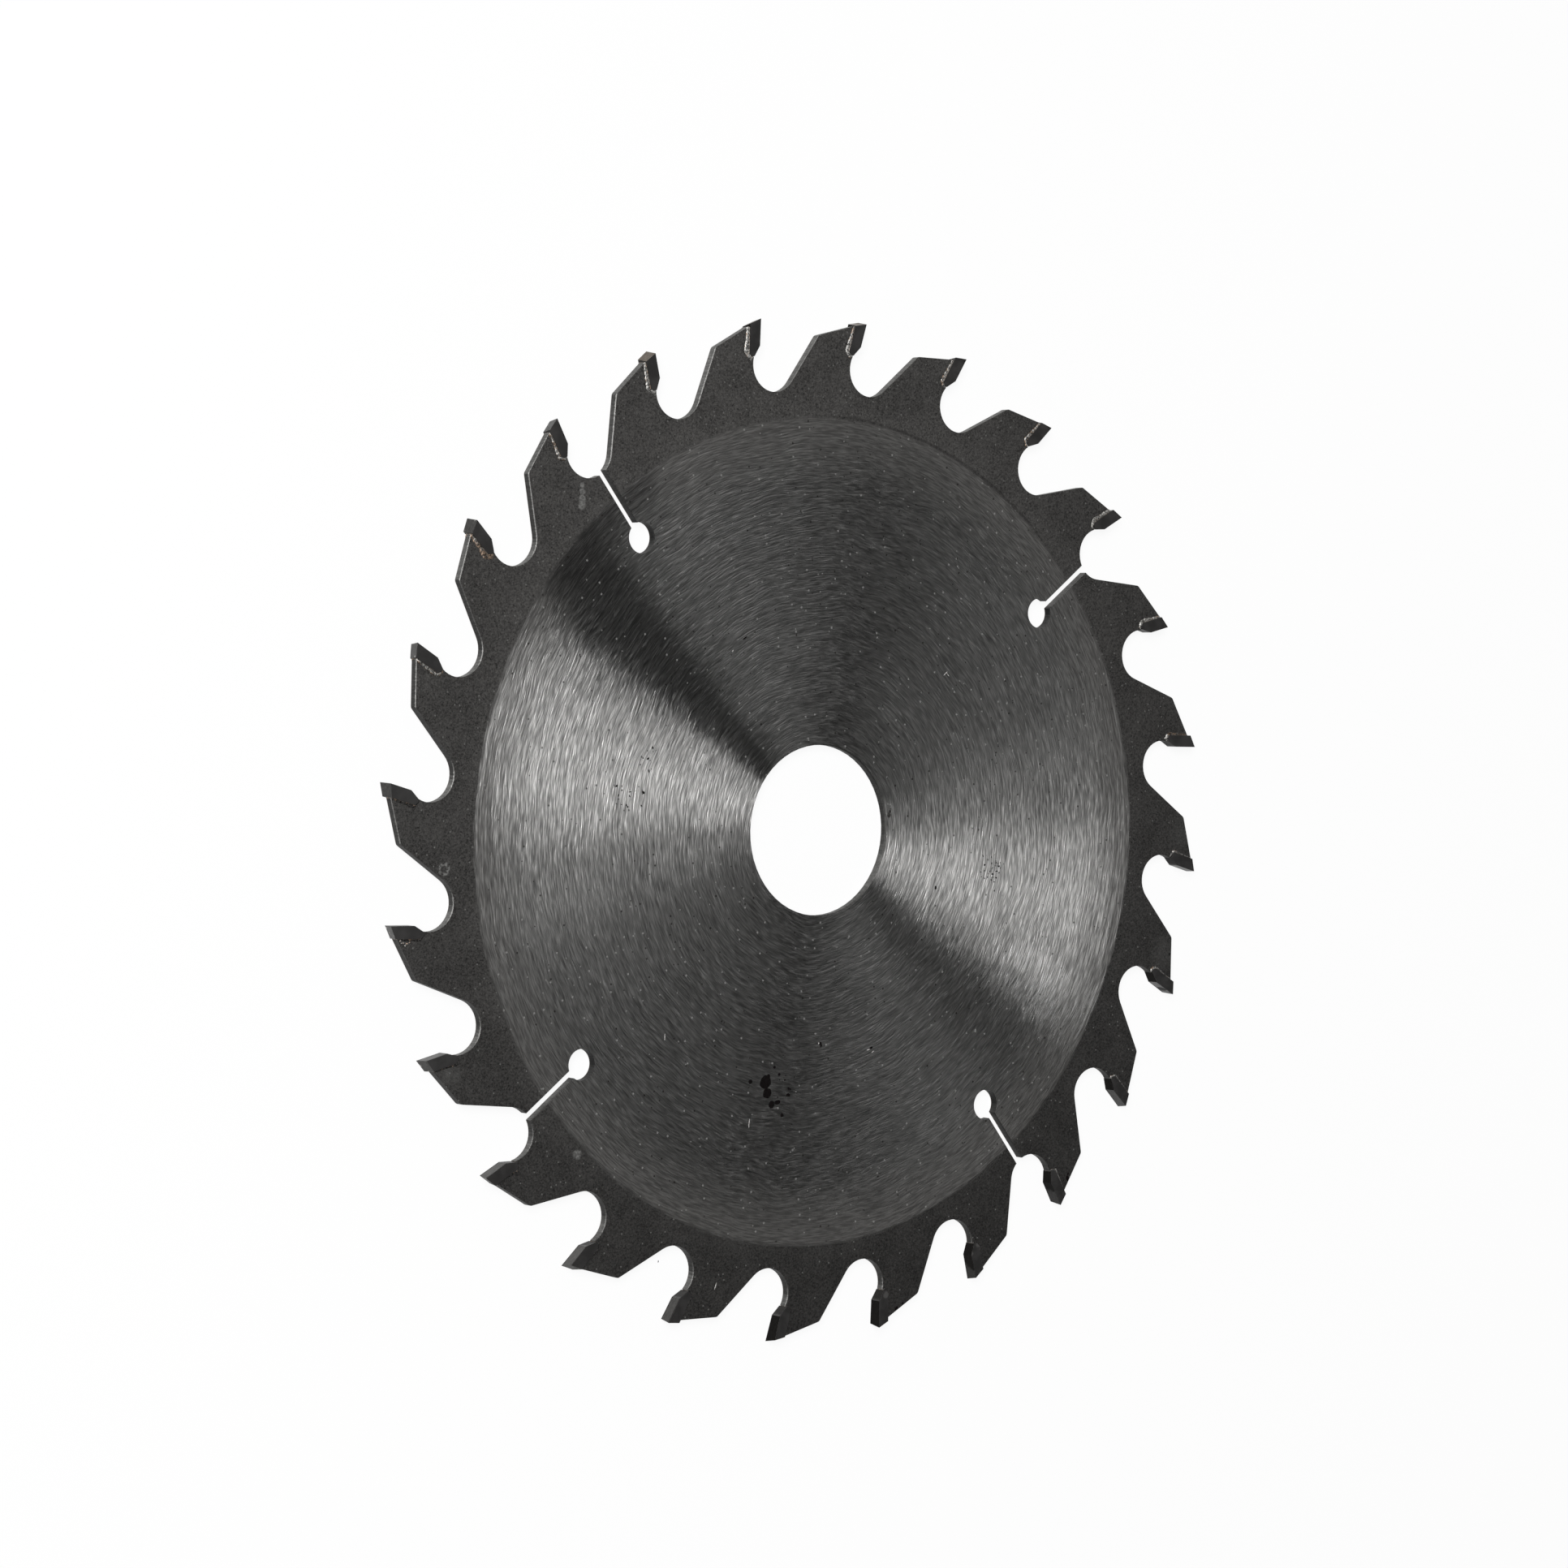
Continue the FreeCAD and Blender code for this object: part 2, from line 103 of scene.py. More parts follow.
OUTSIDE_HOLES = (66.4 * MILLIMETRE, 67.2 * MILLIMETRE)
INSIDE_HOLES = (40.0 * MILLIMETRE, 30.0 * MILLIMETRE)

# Colours as linear values

GROUND_STEEL = (0.46, 0.455, 0.445)
BLASTED_STEEL = (0.0455, 0.0440, 0.0422)
CUT_STEEL = (0.17, 0.168, 0.162)
CARBIDE = (0.069, 0.067, 0.066)
CARBIDE_TOP = (0.048, 0.047, 0.045)
CARBIDE_TAN = (0.110, 0.090, 0.072)
CARBIDE_RAKE = (0.006, 0.0055, 0.005)
CARBIDE_LIT_AND_WORN = (0.034, 0.033, 0.032)
CARBIDE_GREY = (0.070, 0.068, 0.065)
SOLDER = (0.46, 0.45, 0.43)
GREY_SOLDER = (0.40, 0.39, 0.37)
COPPER = (0.19, 0.14, 0.105)
TARNISH = (0.060, 0.057, 0.055)
INK = (0.006, 0.005, 0.005)
FLOOR_WHITE = (0.90, 0.90, 0.90)
GROUND_SPECK = (0.26, 0.26, 0.25)
GROUND_SOOT = (0.012, 0.011, 0.010)
CREASE_SHADE = (0.012, 0.011, 0.011)
THIN_BLASTING = (0.076, 0.074, 0.071)
RIM_SPECK = (0.24, 0.24, 0.23)
RIM_PIT = (0.014, 0.013, 0.013)
RIM_STAIN_AND_SHEEN = (0.27, 0.27, 0.26)
SCALE_BROWN = (0.09, 0.065, 0.050)
BARE_CORNER_AND_GLINT = (0.17, 0.167, 0.162)
LAND_CHIP = (0.28, 0.27, 0.255)
BARE_CARBIDE = (0.19, 0.185, 0.18)
JOINT_SOLDER = (0.16, 0.145, 0.13)
BROWN_SOLDER = (0.26, 0.25, 0.24)
COPPERY_SOLDER = (0.40, 0.36, 0.32)
FAINT_SOLDER = (0.13, 0.125, 0.12)
DROP_SOLDER = (0.22, 0.21, 0.20)

# Braze beads: the look of each tooth's seam, and its width in millimetres
# at the top and at the inner corner

BEADS = {
    1: ("silver", 0.60, 1.00), 2: ("silver", 0.30, 0.82), 3: ("edged", 0.37, 0.56),
    4: ("edged", 0.37, 0.54), 5: ("grey", 0.60, 0.62), 6: ("grey", 0.42, 0.66),
    7: ("brown", 0.26, 0.44), 8: ("faint", 0.20, 0.30), 9: ("faint", 0.22, 0.34),
    10: ("faint", 0.18, 0.30), 11: ("faint", 0.18, 0.30), 12: ("dull", 0.18, 0.40),
    13: ("dull", 0.18, 0.40), 14: ("dull", 0.18, 0.40), 15: ("dull", 0.18, 0.36),
    16: ("dull", 0.18, 0.36), 17: ("dull", 0.18, 0.34), 18: ("dull", 0.18, 0.34),
    19: ("dull", 0.22, 0.34), 20: ("dull", 0.28, 0.46), 21: ("edged", 0.42, 0.64),
    22: ("copper", 0.56, 1.16), 23: ("edged", 0.34, 0.60), 24: ("silver", 0.44, 0.82),
}

# Bright ends of some seams: look, start and end along the seam, and widths in millimetres

SEAM_ENDS = {
    6: ("silver", 0.74, 1.00, 0.50, 0.70), 7: ("silver", 0.78, 1.00, 0.60, 0.90),
    8: ("silver", 0.68, 0.86, 0.30, 0.40), 9: ("edged", 0.74, 1.00, 0.42, 0.66),
    10: ("edged", 0.74, 1.00, 0.42, 0.56), 11: ("edged", 0.70, 0.96, 0.28, 0.40),
    22: ("silver", 0.02, 0.34, 0.34, 0.50),
}


class Graph:
    """The node tree of one material, with short names for the nodes it needs."""

    def __init__(self, name):
        self.material = bpy.data.materials.new(name)
        self.material.use_nodes = True
        self.tree = self.material.node_tree
        self.tree.nodes.clear()
        self.coordinates = self.tree.nodes.new("ShaderNodeTexCoord")
        self.point = self.coordinates.outputs["Object"]

    def fill(self, socket, value):
        """Links a socket to another one, or sets its constant."""
        if isinstance(value, bpy.types.NodeSocket):
            self.tree.links.new(value, socket)
        elif value is not None:
            if socket.type == "RGBA" and len(value) == 3:
                value = (*value, 1.0)
            socket.default_value = value

    def node(self, kind, inputs=(), **settings):
        """A new node with its settings and inputs."""
        made = self.tree.nodes.new(kind)
        for key, value in settings.items():
            setattr(made, key, value)
        for key, value in dict(inputs).items():
            if value is not None:
                self.fill(made.inputs[key], value)
        return made

    def math(self, operation, a, b=None, c=None):
        """Sums on numbers."""
        made = self.node("ShaderNodeMath", {0: a, 1: b, 2: c}, operation=operation)
        return made.outputs[0]

    def times(self, value, *factors):
        """A number multiplied by each of the others in turn."""
        for factor in factors:
            value = self.math("MULTIPLY", value, factor)
        return value

    def vector(self, operation, a, b=None, scale=None):
        """Sums on vectors."""
        made = self.node("ShaderNodeVectorMath", {0: a, 1: b, 3: scale}, operation=operation)
        return made.outputs["Value" if operation in ("LENGTH", "DISTANCE", "DOT_PRODUCT") else "Vector"]

    def split(self, vector):
        """The three parts of a vector."""
        return self.node("ShaderNodeSeparateXYZ", {0: vector}).outputs

    def join(self, x, y, z):
        """A vector of three parts."""
        return self.node("ShaderNodeCombineXYZ", {0: x, 1: y, 2: z}).outputs[0]

    def noise(self, vector, scale, detail=2.0, roughness=0.5):
        """Soft noise between zero and one."""
        inputs = {"Vector": vector, "Scale": scale, "Detail": detail, "Roughness": roughness}
        return self.node("ShaderNodeTexNoise", inputs).outputs["Fac"]

    def spots(self, vector, scale, size, kind):
        """Small round specks on a flat face, or in all directions, with a random number for each."""
        inputs = {"Vector": vector, "Scale": scale, "Randomness": 1.0}
        cells = self.node("ShaderNodeTexVoronoi", inputs, voronoi_dimensions=kind)
        near = self.ramp(cells.outputs["Distance"], size, size * 0.4, 0.0, 1.0)
        return near, cells.outputs["Color"]

    def ramp(self, value, low, high, at_low=0.0, at_high=1.0, smooth=True):
        """Goes from one value to another between two limits."""
        inputs = {"Value": value, "From Min": low, "From Max": high, "To Min": at_low, "To Max": at_high}
        kind = "SMOOTHSTEP" if smooth else "LINEAR"
        return self.node("ShaderNodeMapRange", inputs, interpolation_type=kind).outputs["Result"]

    def blend(self, factor, a, b):
        """One colour turned into another by a factor."""
        made = self.node("ShaderNodeMix", data_type="RGBA", blend_type="MIX")
        self.fill(made.inputs[0], factor)
        self.fill(made.inputs[6], a)
        self.fill(made.inputs[7], b)
        return made.outputs[2]

    def brighten(self, colour, gain):
        """A colour made lighter or darker."""
        return self.vector("SCALE", colour, scale=gain)

    def bump(self, height, distance, strength=1.0, normal=None):
        """A normal that follows fine relief."""
        inputs = {"Height": height, "Distance": distance, "Strength": strength, "Normal": normal}
        return self.node("ShaderNodeBump", inputs).outputs[0]

    def rounded(self, radius):
        """A normal that rounds the edges a little."""
        return self.node("ShaderNodeBevel", {"Radius": radius}, samples=6).outputs[0]

    def stored(self, name):
        """A number kept on the points of a mesh."""
        return self.node("ShaderNodeAttribute", attribute_name=name).outputs["Fac"]

    def facing(self, normal, azimuth, low, high):
        """Rises from zero to one as a wall turns towards a direction in the plane of the blade."""
        turn = math.radians(azimuth)
        share = self.vector("DOT_PRODUCT", normal, (math.cos(turn), math.sin(turn), 0.0))
        return self.ramp(share, low, high)

    def principled(self, inputs):
        """A surface with its own colour, metal share and roughness."""
        return self.node("ShaderNodeBsdfPrincipled", inputs).outputs[0]

    def matt(self, colour):
        """A plain matt surface."""
        return self.node("ShaderNodeBsdfDiffuse", {"Color": colour}).outputs[0]

    def mixed(self, factor, a, b):
        """One surface turned into another by a factor."""
        return self.node("ShaderNodeMixShader", {0: factor, 1: a, 2: b}).outputs[0]

    def done(self, shader):
        """Sets the surface and hands over the finished material."""
        self.node("ShaderNodeOutputMaterial", {"Surface": shader})
        return self.material


def distance_to(graph, radius, clockwise, wobble, level=FACE_Z):
    """Distance on the near face to a place given by its radius and its turn from tooth 1."""
    turn = math.radians(clockwise)
    centre = (radius * math.sin(turn), radius * math.cos(turn), level)
    uneven = centred(graph, graph.noise(graph.point, 900.0), wobble)
    return graph.math("ADD", graph.vector("DISTANCE", graph.point, centre), uneven)


def spot_at(graph, radius, clockwise, size, soft=0.3, level=FACE_Z):
    """A round mask at a place on the blade."""
    distance = distance_to(graph, radius, clockwise, size, level)
    return graph.ramp(distance, size * (1 + soft), size * (1 - soft))


def ring_at(graph, radius, clockwise, size, width):
    """A broken ring at a place on the blade."""
    distance = distance_to(graph, radius, clockwise, size * 0.8)
    away = graph.math("ABSOLUTE", graph.math("SUBTRACT", distance, size))
    broken = graph.ramp(graph.noise(graph.point, 2200.0), 0.42, 0.60)
    return graph.times(graph.ramp(away, width, width * 0.3), broken)


def streak_coordinates(graph, length, width, wander):
    """Coordinates that make noise into grinding lines round the bore."""
    x, y = graph.split(graph.point)[:2]
    radius = graph.vector("LENGTH", graph.join(x, y, 0.0))
    drift = graph.times(graph.noise(graph.point, 70.0, 1.0), wander)
    shifted = graph.math("ADD", radius, drift)
    return graph.join(
        graph.math("DIVIDE", x, length),
        graph.math("DIVIDE", y, length),
        graph.math("DIVIDE", shifted, width),
    )


def centred(graph, value, gain):
    """Noise as a value about zero."""
    return graph.times(graph.math("SUBTRACT", value, 0.5), gain)


def flecks(graph, scale, size, light_above, dark_below, kind="2D"):
    """Masks of scattered small light and dark specks."""
    near, chance = graph.spots(graph.point, scale, size, kind)
    draw = graph.split(chance)[0]
    light = graph.times(near, graph.math("GREATER_THAN", draw, light_above))
    dark = graph.times(near, graph.math("LESS_THAN", draw, dark_below))
    return light, dark


def grinding_lines(graph, radius):
    """Fine, wide and long grinding lines: their brightness, their height and the fine part alone."""
    fine = graph.noise(streak_coordinates(graph, 2.4 * MILLIMETRE, 0.23 * MILLIMETRE, 0.0022), 1.0, 1.0, 0.5)
    wide = graph.noise(streak_coordinates(graph, 5.0 * MILLIMETRE, 0.55 * MILLIMETRE, 0.003), 1.0, 2.0)
    long = graph.noise(streak_coordinates(graph, 24.0 * MILLIMETRE, 0.36 * MILLIMETRE, 0.0), 1.0, 1.0)
    outer = graph.ramp(radius, 0.060, 0.072, 0.15, 0.6)
    long_part = graph.times(centred(graph, long, 2.0), outer)
    lines = graph.math("ADD", centred(graph, fine, 2.2), centred(graph, wide, 1.1))
    lines = graph.math("ADD", lines, long_part)
    height = graph.math("ADD", fine, graph.times(wide, 1.2))
    height = graph.math("ADD", height, graph.times(long_part, 0.15))
    return lines, height, fine, long


def lay_direction(graph, radius):
    """The direction of the grinding lines."""
    tangent = graph.node("ShaderNodeTangent", direction_type="RADIAL", axis="Z").outputs[0]
    inside = graph.math("MAXIMUM", graph.math("SUBTRACT", LAY_RADIUS, radius), 0.0)
    inputs = {"Vector": tangent, "Angle": graph.times(inside, LAY_TURN)}
    return graph.node("ShaderNodeVectorRotate", inputs, rotation_type="Z_AXIS").outputs[0]


def ground_gain(graph, lines, radius, outward):
    """Brightness of the ground steel: lines with painted glints where the light's fans fall, soft clouds, a
    band of painted shade and a painted highlight along a low edge.
    """
    # Painted glints: the lines get more contrast in the two directions where the light's bright fans fall.
    lit = graph.math("MAXIMUM", graph.facing(outward, 157.0, 0.86, 0.97),
                     graph.facing(outward, 338.0, 0.86, 0.97))
    lines = graph.times(lines, graph.ramp(lit, 0.0, 1.0, 0.80, 1.28))
    cloud = graph.noise(graph.point, 45.0, 3.0)
    gain = graph.math("EXPONENT", graph.math("ADD", lines, centred(graph, cloud, 0.4)))
    # Painted shade: a narrow band towards the upper left is darker, standing in for dark surroundings seen
    # in the steel.
    painted_shade_band = graph.facing(outward, 130.5, 0.9870, 0.9980)
    # Painted highlight: a narrow band towards the lower right is brighter beyond 40 mm from the middle.
    painted_highlight_edge = graph.times(graph.facing(outward, 321.0, 0.9920, 0.9990), graph.ramp(radius, 0.040, 0.055))
    return graph.times(
        graph.math("MINIMUM", gain, 2.0),
        graph.ramp(radius, 0.016, 0.026, 0.90, 1.0),
        graph.ramp(painted_shade_band, 0.0, 1.0, 1.0, 0.68),
        graph.ramp(painted_highlight_edge, 0.0, 1.0, 1.0, 1.40),
    )


def ground_specks(graph):
    """Light and dark specks in the ground face, with the chips beside the bore's edge."""
    light, dark = flecks(graph, 500.0, 0.13, 0.90, 0.05)
    small_light, small_dark = flecks(graph, 1100.0, 0.20, 0.975, 0.02)
    dark = graph.math("MAXIMUM", dark, small_dark)
    light = graph.math("MAXIMUM", light, small_light)
    for out, clockwise, size in ((0.9, 90.2, 0.42), (1.2, 88.2, 0.26)):
        chip = spot_at(graph, BORE_RADIUS + out * MILLIMETRE, clockwise, size * MILLIMETRE)
        dark = graph.math("MAXIMUM", dark, chip)
    ring = ring_at(graph, BORE_RADIUS + 0.9 * MILLIMETRE, 86.2, 0.9 * MILLIMETRE, 0.24 * MILLIMETRE)
    return graph.math("MAXIMUM", light, ring), dark


def ground_shader(graph, radius):
    """The face that is ground in rings round the bore; its outer part is ground only lightly, and where the
    blasting shows through it carries painted shade towards the upper left.
    """
    lines, height, fine, long = grinding_lines(graph, radius)
    outward = graph.vector("NORMALIZE", graph.point)
    colour = graph.brighten(GROUND_STEEL, ground_gain(graph, lines, radius, outward))
    light, dark = ground_specks(graph)
    steel = graph.principled({
        "Base Color": colour,
        "Metallic": 1.0,
        "Roughness": graph.ramp(fine, 0.3, 0.7, 0.325, 0.290, smooth=False),
        "Anisotropic": 1.0,
        "Anisotropic Rotation": 0.25,
        "Tangent": lay_direction(graph, radius),
        "Normal": graph.bump(height, 0.098 * MILLIMETRE),
    })
    # Painted shade: the blasting that shows through is darkened towards the upper left.
    painted_shade_upper_left = graph.facing(outward, 124.0, 0.962, 0.995)
    grey = graph.brighten(THIN_BLASTING, graph.ramp(fine, 0.3, 0.7, 0.7, 1.3))
    grey = graph.brighten(grey, graph.ramp(painted_shade_upper_left, 0.0, 1.0, 1.0, 0.30))
    share = graph.times(graph.ramp(radius, *BLASTING_SHOWS, smooth=False),
                        graph.ramp(long, 0.3, 0.7, 0.88, 0.50, smooth=False))
    steel = graph.mixed(share, steel, graph.matt(grey))
    steel = graph.mixed(graph.times(light, 0.6), steel, graph.matt(GROUND_SPECK))
    return graph.mixed(graph.times(dark, 0.8), steel, graph.matt(GROUND_SOOT))


def rim_stains_and_sheen(graph):
    """Pale worn patches on the rim, one ring shaped mark, and broad pale hazes, of which the two behind
    teeth 8 and 9 are a painted sheen.
    """
    total = ring_at(graph, 0.0785, 275.4, 0.85 * MILLIMETRE, 0.40 * MILLIMETRE)
    patches = ((0.0781, 328.1, 0.45), (0.0772, 327.6, 0.55), (0.0763, 326.9, 0.75), (0.0756, 326.4, 0.70),
               (0.0744, 232.6, 0.80), (0.0793, 275.0, 0.22), (0.0802, 278.0, 0.18))
    mottle = graph.ramp(graph.noise(graph.point, 2400.0, 2.0), 0.38, 0.62, 0.35, 1.0)
    for radius, clockwise, size in patches:
        spot = spot_at(graph, radius, clockwise, size * MILLIMETRE)
        total = graph.math("MAXIMUM", total, graph.times(spot, mottle))
    # Broad pale hazes; the two behind teeth 8 and 9 are a painted sheen.
    hazes_and_sheens = ((0.0866, 252.2, 1.1, 0.20), (0.0853, 251.6, 0.9, 0.16),
             (0.0860, 100.6, 2.2, 0.10), (0.0852, 115.6, 2.4, 0.12))
    for radius, clockwise, size, share in hazes_and_sheens:
        spot = spot_at(graph, radius, clockwise, size * MILLIMETRE, 0.9)
        total = graph.math("MAXIMUM", total, graph.times(spot, share))
    return total


def blasted_shader(graph, normal, radius):
    """The dark matt rim with its fine grain, pale specks and pits, and painted light that makes it paler
    towards the top.
    """
    grain = graph.noise(graph.point, 3100.0, 3.0, 0.8)
    patch = graph.noise(graph.point, 160.0, 3.0)
    gain = graph.math("ADD", graph.ramp(grain, 0.28, 0.72, 0.15, 1.95, smooth=False),
                      graph.ramp(patch, 0.3, 0.7, -0.12, 0.12))
    # Painted light: the rim's colour grows paler towards the top of the blade.
    rise = graph.vector("DOT_PRODUCT", graph.point, (-0.17, 0.985, 0.0))
    gain = graph.times(gain, graph.ramp(rise, -0.085, 0.085, 0.76, 1.49, smooth=False))
    gain = graph.times(gain, graph.ramp(radius, 0.0732, 0.0785, 1.12, 1.0))
    colour = graph.brighten(BLASTED_STEEL, gain)
    light, dark = flecks(graph, 1000.0, 0.20, 0.93, 0.12)
    colour = graph.blend(graph.times(light, 0.6), colour, RIM_SPECK)
    colour = graph.blend(graph.times(dark, 0.8), colour, RIM_PIT)
    colour = graph.blend(graph.times(rim_stains_and_sheen(graph), 0.75), colour, RIM_STAIN_AND_SHEEN)
    return graph.principled({
        "Base Color": colour,
        "Metallic": 0.6,
        "Roughness": 0.68,
        "Specular IOR Level": 0.3,
        "Normal": graph.bump(grain, 0.05 * MILLIMETRE, 0.8, normal),
    })


def wall_shader(graph, flat_normal, radius):
    """The laser cut edge: dark scale, painted light that makes the sides facing up and left paler, painted
    shade on the walls of the slot holes, and a bare corner with a painted glint.
    """
    x, y, z = graph.split(graph.point)
    stretched = graph.join(x, y, graph.times(z, 0.15))
    striae = graph.noise(stretched, 3200.0, 2.0, 0.6)
    patch = graph.noise(graph.point, 120.0, 2.0)
    away = graph.ramp(radius, BORE_RADIUS + 0.5 * MILLIMETRE, BORE_RADIUS + 1.0 * MILLIMETRE)
    # Painted light: walls that face up and left are paler.
    gain = graph.facing(flat_normal, 114.0, 0.46, 0.88)
    gain = graph.ramp(gain, 0.0, 1.0, 0.20, 0.74, smooth=False)
    # Painted shade: the walls of the slot holes are darker.
    open_wall = graph.math("MAXIMUM", graph.ramp(radius, *OUTSIDE_HOLES), graph.ramp(radius, *INSIDE_HOLES))
    gain = graph.times(
        gain,
        graph.ramp(striae, 0.3, 0.7, 0.72, 1.28),
        graph.ramp(patch, 0.3, 0.7, 0.80, 1.20),
        graph.ramp(away, 0.0, 1.0, 0.85, 1.0, smooth=False),
        graph.ramp(open_wall, 0.0, 1.0, 0.35, 1.0, smooth=False),
    )
    uneven = graph.math("ADD", z, graph.ramp(striae, 0.3, 0.7, -0.05 * MILLIMETRE, 0.05 * MILLIMETRE))
    corner = graph.ramp(uneven, RIM_Z - 0.40 * MILLIMETRE, RIM_Z - 0.26 * MILLIMETRE)
    # The corner is bare metal, with a painted glint that shows most on walls facing up and left.
    seen = graph.times(away, graph.facing(flat_normal, 145.0, 0.45, 0.85), open_wall)
    corner = graph.times(corner, graph.ramp(seen, 0.0, 1.0, 0.12, 1.0))
    brown = graph.ramp(z, 0.03 * MILLIMETRE - RIM_Z, 0.16 * MILLIMETRE - RIM_Z, 0.7, 0.0)
    colour = graph.brighten(CUT_STEEL, gain)
    colour = graph.blend(brown, colour, SCALE_BROWN)
    bare = graph.brighten(BARE_CORNER_AND_GLINT, graph.ramp(striae, 0.3, 0.7, 0.82, 1.18))
    bare = graph.brighten(bare, graph.ramp(y, -0.050, 0.010, 0.50, 1.0))
    colour = graph.blend(corner, colour, bare)
    lean = graph.vector("ADD", flat_normal, graph.vector("SCALE", (0.0, 0.0, 1.0), scale=corner))
    return graph.principled({
        "Base Color": colour,
        "Metallic": 0.7,
        "Roughness": graph.ramp(corner, 0.0, 1.0, 0.58, 0.46),
        "Specular IOR Level": 0.2,
        "Normal": graph.bump(striae, 0.015 * MILLIMETRE, 0.6, graph.vector("NORMALIZE", lean)),
    })


def crease_mask(graph, from_middle):
    """A thin line of painted shade along the upper right part of the ground area's edge."""
    away = graph.math("ABSOLUTE", graph.math("SUBTRACT", from_middle, GROUND_EDGE + 0.37 * MILLIMETRE))
    turned = graph.facing(graph.vector("NORMALIZE", graph.point), 58.0, 0.90, 0.975)
    return graph.times(graph.ramp(away, 0.42 * MILLIMETRE, 0.12 * MILLIMETRE), turned, 0.36)


def plate_material():
    """Steel of the plate: ground middle, blasted rim and cut edges."""
    graph = Graph("plate_steel")
    x, y = graph.split(graph.point)[:2]
    radius = graph.vector("LENGTH", graph.join(x, y, 0.0))
    flat_normal = graph.node("ShaderNodeNewGeometry").outputs["True Normal"]
    upright = graph.math("ABSOLUTE", graph.split(flat_normal)[2])
    wall = graph.ramp(upright, 0.90, 0.80)
    normal = graph.rounded(0.09 * MILLIMETRE)
    ragged = graph.noise(streak_coordinates(graph, 3.0 * MILLIMETRE, 0.3 * MILLIMETRE, 0.0), 1.0, 2.0)
    from_middle = graph.vector("DISTANCE", graph.join(x, y, 0.0), (*GROUND_SHIFT, 0.0))
    edge = graph.math("ADD", from_middle, graph.ramp(ragged, 0.3, 0.7, -0.2 * MILLIMETRE, 0.2 * MILLIMETRE))
    rim = graph.ramp(edge, GROUND_EDGE - 0.6 * MILLIMETRE, GROUND_EDGE + 0.4 * MILLIMETRE)
    face = graph.mixed(rim, ground_shader(graph, radius), blasted_shader(graph, normal, radius))
    face = graph.mixed(crease_mask(graph, from_middle), face, graph.matt(CREASE_SHADE))
    return graph.done(graph.mixed(wall, face, wall_shader(graph, flat_normal, radius)))


def rake_colour(graph, flat_normal, radius, level, patch):
    """Black mirror-like rake faces, with painted light that makes them greyer where they look at a light,
    and greyer at their outer end from wear.
    """
    left = graph.facing(flat_normal, 122.0, 0.90, 0.97)
    left = graph.math("MAXIMUM", left, graph.facing(flat_normal, 85.0, 0.80, 0.95))
    low = graph.facing(flat_normal, 236.0, 0.86, 0.985)
    seen = graph.math("MAXIMUM", left, low)
    inner = graph.ramp(level, TIP_Z - 0.10 * MILLIMETRE, TIP_Z - 0.42 * MILLIMETRE)
    inner = graph.times(inner, graph.ramp(radius, 0.0848, 0.0856))
    seen = graph.times(seen, graph.ramp(inner, 0.0, 1.0, 0.25, 1.0))
    tip_end = graph.ramp(graph.math("ADD", radius, centred(graph, patch, 0.004)), 0.0868, 0.0876)
    tip_end = graph.times(tip_end, graph.facing(flat_normal, 205.0, 0.84, 0.96))
    # Painted light where the rake faces look at a light, together with real wear at their outer end.
    lit_and_worn = graph.math("MAXIMUM", seen, graph.times(tip_end, 0.4))
    grey = graph.blend(left, CARBIDE_LIT_AND_WORN, CARBIDE_GREY)
    return graph.blend(lit_and_worn, CARBIDE_RAKE, grey), lit_and_worn


def rake_stain(graph, x, y, z):
    """A black drop that ran down the rake face of tooth 9."""
    turn = math.radians(119.76)
    centre = (0.0881 * math.sin(turn), 0.0881 * math.cos(turn), -0.08 * MILLIMETRE)
    flattened = graph.join(x, y, graph.times(z, 0.55))
    uneven = centred(graph, graph.noise(graph.point, 900.0), 0.25 * MILLIMETRE)
    distance = graph.math("ADD", graph.vector("DISTANCE", flattened, centre), uneven)
    return graph.ramp(distance, 0.80 * MILLIMETRE, 0.66 * MILLIMETRE)


